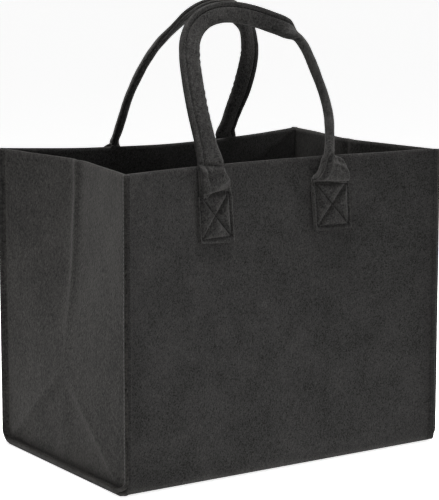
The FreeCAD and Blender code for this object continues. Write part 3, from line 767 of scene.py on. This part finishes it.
def build_handle(shape):
    """The handle strip as it lies: sewn flat ends, creased roots and a soft, folded loop."""
    stations, values, points, across, normals, section = build_strip(shape)
    a, b = section[..., 0], section[..., 1]
    on_front = np.arange(AROUND) < AROUND // 2
    left = values[:, 0] < 0
    folded = values[:, FOLDED_SHARE]

    def raised(amount):
        return points + normals[:, None] * amount[..., None]

    relief = np.where(left[:, None], tab_relief(points, -1), tab_relief(points, 1))
    points = raised(relief * (1 - folded)[:, None] * on_front * smooth_step(np.abs(b), 0.2, 1.2))
    # the top stitching draws the strip down sharply
    top_line = np.where(left, BOXES[-1][0], BOXES[1][0])
    dent = -1.6 * bell(values[:, 2], top_line, 1.6) * (folded < 0.5)
    points = raised(dent[:, None] * on_front)
    points = raised(root_creases(points, left) * on_front)
    # slack: the strap is a little lumpy, and puckers at its fold side where it bends
    lumps = 0.24 * wander(stations[:, None], a, 11, STRAP_LUMPS)
    fuzz = 0.128 * wander(stations[:, None], a * 1.3, 4.5, STRAP_FUZZ)
    points = raised((lumps + fuzz) * folded[:, None] * np.sign(b))
    # middle as a share of the length, reach along the strap, and height
    bends = ((0.255, 16, 0.36), (0.335, 12, 0.32), (0.64, 9, 0.32))
    pucker = sum(size * bell(stations, share * stations[-1], reach) for share, reach, size in bends)
    pucker = pucker * np.sin(stations * 2 * math.pi / 7.5)
    fold_side = np.clip(-a / 10.0, 0, 1)
    points = points + across[:, None] * (pucker[:, None] * fold_side)[..., None]
    return values, points, normals


def strip_faces(rows):
    """The faces of a closed strip of so many sections."""
    count = AROUND
    faces = []
    for r in range(rows - 1):
        base = r * count
        for k in range(count):
            nxt = (k + 1) % count
            faces.append([base + k, base + nxt, base + count + nxt, base + count + k])
    half = count // 2
    for base, flip in ((0, False), ((rows - 1) * count, True)):
        for k in range(half - 1):
            quad = [base + k, base + count - 1 - k, base + count - 2 - k, base + k + 1]
            faces.append(quad[::-1] if flip else quad)
    return faces


def strap_stitches(handle):
    """The seam that closes the fold, on both faces of the strap."""
    values, points, normals = handle
    groove = int(np.argmin(np.abs(outline(FOLDED)[:AROUND // 2, 0] - 5.3)))
    ready = np.where(values[:, FOLDED_SHARE] > 0.8)[0]
    span = slice(ready[0], ready[-1])
    groups = []
    for k, sign in ((groove, 1), (AROUND - 1 - groove, -1)):
        groups += stitch_line(points[span, k], sign * normals[span], pitch=3.7, length=2.7, width=1.05)
    return groups


def tab_stitches(handle, side):
    """The box and its cross on one flat end, laid on its sculpted face."""
    values, points, normals = handle
    rows = (values[:, 0] * side > 0) & (values[:, 2] < 268) & (values[:, FOLDED_SHARE] < 0.5)
    face = points[rows][:, 3:AROUND // 2 - 3]
    flat = face.reshape(-1, 3)
    flat_n = np.repeat(normals[rows], face.shape[1], axis=0)
    groups = []
    for (x0, z0), (x1, z1) in sew_lines(*BOXES[side]):
        long = math.hypot(x1 - x0, z1 - z0)
        t = np.linspace(0, 1, max(8, int(long / 1.0)))
        line, line_n = [], []
        for s in t:
            x, z = x0 + (x1 - x0) * s, z0 + (z1 - z0) * s
            away = (flat[:, 0] - x) ** 2 + (flat[:, 2] - z) ** 2
            near = np.argsort(away)[:4]
            weight = 1 / (away[near] + 0.05)
            y = (flat[near, 1] * weight).sum() / weight.sum()
            line.append((x, y, z))
            line_n.append(flat_n[near[0]])
        groups += stitch_line(line, line_n, pitch=3.3, length=2.5, width=0.8, lift=0.12)
    return groups


def keep_front(points):
    """The points as they are, for the handle at the front."""
    return points


for where, sign, shape, place in (("front", 1, FRONT_HANDLE, keep_front), ("back", -1, BACK_HANDLE, half_turn)):
    handle = build_handle(shape)
    strip_points = place(handle[1].reshape(-1, 3))
    strip = new_object(f"{where}_handle_felt", strip_points, strip_faces(len(handle[0])), handle_felt)
    face_outwards(strip)
    groups = [(place(points), faces) for points, faces in strap_stitches(handle)]
    sewn = stitches_object(f"{where}_handle_seam_stitches", groups)
    tabs = []
    for side in (-1, 1):
        corner = f"{where}_{'left' if side * sign < 0 else 'right'}"
        groups = [(place(points), faces) for points, faces in tab_stitches(handle, side)]
        box_sewn = stitches_object(f"{corner}_tab_box_stitches", groups)
        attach(box_sewn, "bag")
        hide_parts(f"{corner}_tab_stitching")
        tabs.append(f"{corner}_handle_tab")
    for piece in (strip, sewn):
        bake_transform(piece)
    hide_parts(f"{where}_handle_strap", f"{where}_handle_cord_core", *tabs)
    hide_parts(f"{where}_handle_seam_thread")

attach(wrap, "bag")
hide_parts("front_panel", "bottom_panel", "back_panel")
for name, (obj, _, _) in gussets.items():
    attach(obj, "bag")
    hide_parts(f"{name}_side_panel")
    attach(seams[name], "bag")
    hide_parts(f"{name}_seam_thread")


# --- studio --------------------------------------------------------------------------------------------

def pale_floor():
    """A wide, pale floor that glows, so that it runs into the background."""
    material = bpy.data.materials.new("studio_floor")
    material.use_nodes = True
    shader = material.node_tree.nodes["Principled BSDF"]
    shader.inputs["Base Color"].default_value = (0.93, 0.93, 0.93, 1)
    shader.inputs["Roughness"].default_value = 0.9
    shader.inputs["Specular IOR Level"].default_value = 0.1
    shader.inputs["Emission Color"].default_value = (1, 1, 1, 1)
    shader.inputs["Emission Strength"].default_value = 0.84
    reach, level = 60000.0, -0.2
    corners = [(x * reach, y * reach, level) for x, y in ((-1, -1), (1, -1), (1, 1), (-1, 1))]
    return new_object("studio_floor", corners, np.array([[0, 1, 2, 3]]), material)


def soft_sky(scene):
    """A studio's soft light: white near the floor, dim overhead."""
    world = bpy.data.worlds.new("studio")
    scene.world = world
    world.use_nodes = True
    tree = world.node_tree
    background = tree.nodes["Background"]
    background.inputs["Strength"].default_value = 1.0
    place = tree.nodes.new("ShaderNodeTexCoord")
    split = tree.nodes.new("ShaderNodeSeparateXYZ")
    tree.links.new(place.outputs["Generated"], split.inputs["Vector"])
    add_ramp(tree, split.outputs["Z"], background.inputs["Color"], 0.02, 0.42,
             (1.0, 1.0, 1.0), (0.06, 0.06, 0.06))


def soft_light(scene, name, place, target, size, power, colour=(1, 1, 1), spread=180):
    """A square area light, in metres and watts, that points at a target."""
    light = bpy.data.lights.new(name, "AREA")
    light.spread = math.radians(spread)
    light.shape = "SQUARE"
    light.size = size
    light.energy = power
    light.color = colour
    holder = bpy.data.objects.new(name, light)
    scene.collection.objects.link(holder)
    holder.location = place
    direction = Vector(target) - Vector(place)
    holder.rotation_mode = "QUATERNION"
    holder.rotation_quaternion = direction.to_track_quat("-Z", "Y")


def aim_camera(scene, lens, place, right, forward):
    """A camera that looks along forward, with right to its right."""
    data = bpy.data.cameras.new("camera")
    data.lens = lens
    data.sensor_width = 36.0
    data.clip_start, data.clip_end = 0.05, 50
    camera = bpy.data.objects.new("camera", data)
    scene.collection.objects.link(camera)
    forward = Vector(forward).normalized()
    above = Vector(right).normalized().cross(forward).normalized()
    right = forward.cross(above).normalized()
    turn = Matrix((right, above, -forward)).transposed()
    camera.matrix_world = Matrix.Translation(place) @ turn.to_4x4()
    scene.camera = camera


pale_floor()
scene = bpy.context.scene
soft_sky(scene)
soft_light(scene, "key_back_left", (-1.2, 2.3, 0.8), (-0.17, 0, 0.2), 0.8, 5.5, (1.0, 0.985, 0.96))
soft_light(scene, "key_front_left", (-2.3, -0.75, 0.75), (0, 0, 0.3), 0.6, 2.5)
soft_light(scene, "key_front_right", (1.9, -0.95, 1.1), (0, 0, 0.25), 0.4, 11)
soft_light(scene, "overhead", (0, 0, 2.2), (0, 0, 0), 1.0, 16, spread=70)
aim_camera(scene, 144.22, place=(-1.0493, -1.5935, 0.5176), right=(0.8350, -0.5502, 0.0),
           forward=(0.5423, 0.8231, -0.1687))
scene.view_settings.view_transform = "Standard"
